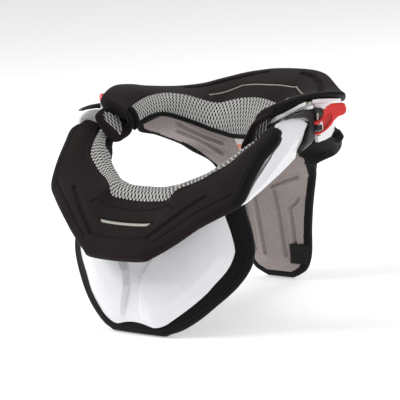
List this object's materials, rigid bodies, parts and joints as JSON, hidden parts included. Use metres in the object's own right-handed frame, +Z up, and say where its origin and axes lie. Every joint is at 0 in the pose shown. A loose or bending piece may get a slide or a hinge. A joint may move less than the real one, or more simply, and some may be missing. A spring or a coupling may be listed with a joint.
{
  "type": "neck brace",
  "caption": "Rider's neck brace: a padded ring with mesh-lined collar, chest plate and padded back panel, whose front half swings open at side clamps with quick-release levers.",
  "frame": {"origin": "on the floor, under the middle of the bounding box", "axes": "+Z up, the front of the brace faces -Y, +X is the wearer's left"},
  "size_m": [0.2934, 0.2854, 0.2001],
  "materials": {
    "pad_fabric": "warm black laminated fabric over foam",
    "binding_fabric": "black bound edge and webbing",
    "spacer_mesh": "light grey spacer mesh with dark holes",
    "lining_fabric": "taupe lining with moulded ribs",
    "white_plastic": "glossy white moulded plastic",
    "red_plastic": "glossy red moulded plastic",
    "graphite_plastic": "satin dark grey plastic",
    "steel": "bright steel fasteners",
    "reflective_strip": "pale reflective trim",
    "label_cloth": "white sewn label with a plain coloured band"
  },
  "bodies": {
    "rear_half": {"rear_pad": "pad_fabric", "rear_collar": "spacer_mesh", "rear_piping": "reflective_strip", "rear_chassis": "white_plastic", "back_panel": "lining_fabric", "back_tab": "binding_fabric", "care_label": "label_cloth", "ear_left": "binding_fabric", "ear_right": "binding_fabric", "ear_mesh_left": "spacer_mesh", "ear_mesh_right": "spacer_mesh", "clamp_left": "graphite_plastic", "clamp_right": "graphite_plastic", "lever_pin_left": "steel", "lever_pin_right": "steel", "bolt_left": "steel", "bolt_right": "steel"},
    "front_half": {"front_pad": "pad_fabric", "front_collar": "spacer_mesh", "front_strip": "reflective_strip", "front_chassis": "white_plastic", "chest_plate": "white_plastic", "chest_pad": "binding_fabric"},
    "lever_left": {"lever_left": "red_plastic"},
    "lever_right": {"lever_right": "red_plastic"}
  },
  "joints": [
    {"name": "front_swing", "type": "hinge", "parent": "rear_half", "child": "front_half", "pos_m": [-0.117, 0.00393, 0.18], "axis": [0, 0, -1], "range_deg": [0, 50]},
    {"name": "lever_left_pull", "type": "hinge", "parent": "rear_half", "child": "lever_left", "pos_m": [0.1235, 0.00933, 0.173], "axis": [0, 0, -1], "range_deg": [0, 60]},
    {"name": "lever_right_pull", "type": "hinge", "parent": "rear_half", "child": "lever_right", "pos_m": [-0.1235, 0.00933, 0.173], "axis": [0, 0, 1], "range_deg": [0, 60]}
  ]
}
